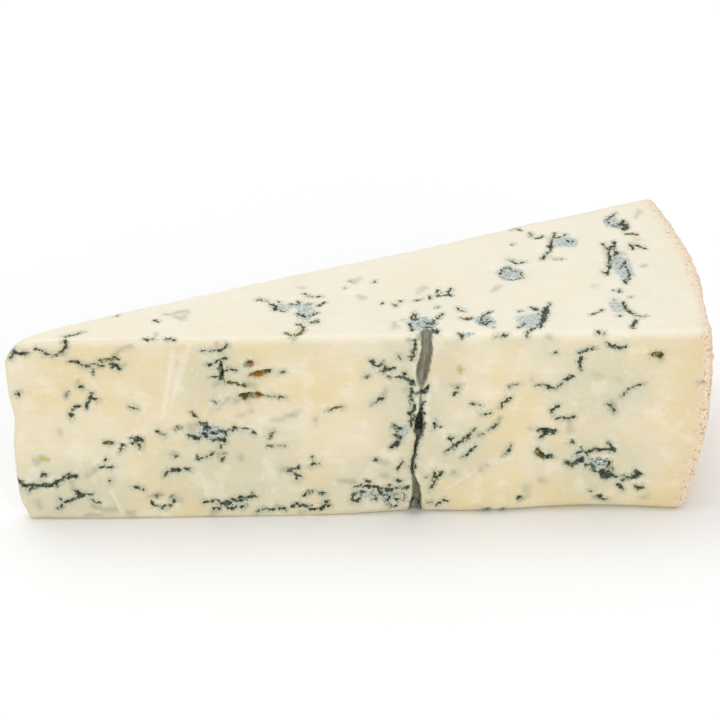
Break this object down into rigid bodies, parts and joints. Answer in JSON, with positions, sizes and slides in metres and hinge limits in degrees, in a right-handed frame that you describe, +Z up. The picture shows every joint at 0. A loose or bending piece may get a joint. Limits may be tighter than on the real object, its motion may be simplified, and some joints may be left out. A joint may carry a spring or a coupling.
{
  "type": "gorgonzola wedge",
  "caption": "Retail wedge of soft blue cheese with rind on its curved end, lying on a cut face, with a pierced hole sliced open along one side.",
  "frame": {"origin": "middle of the footprint, on the surface that the wedge lies on", "axes": "+X from the tip to the rind, along the line that halves the wedge's angle; +Z up, from the lower cut face to the upper one"},
  "size_m": [0.1388, 0.0546, 0.0416],
  "materials": {
    "paste": "moist, creamy cut paste with a satin sheen, veined with blue-green mould"
  },
  "bodies": {
    "root": {"cheese_wedge": "paste"}
  },
  "joints": []
}
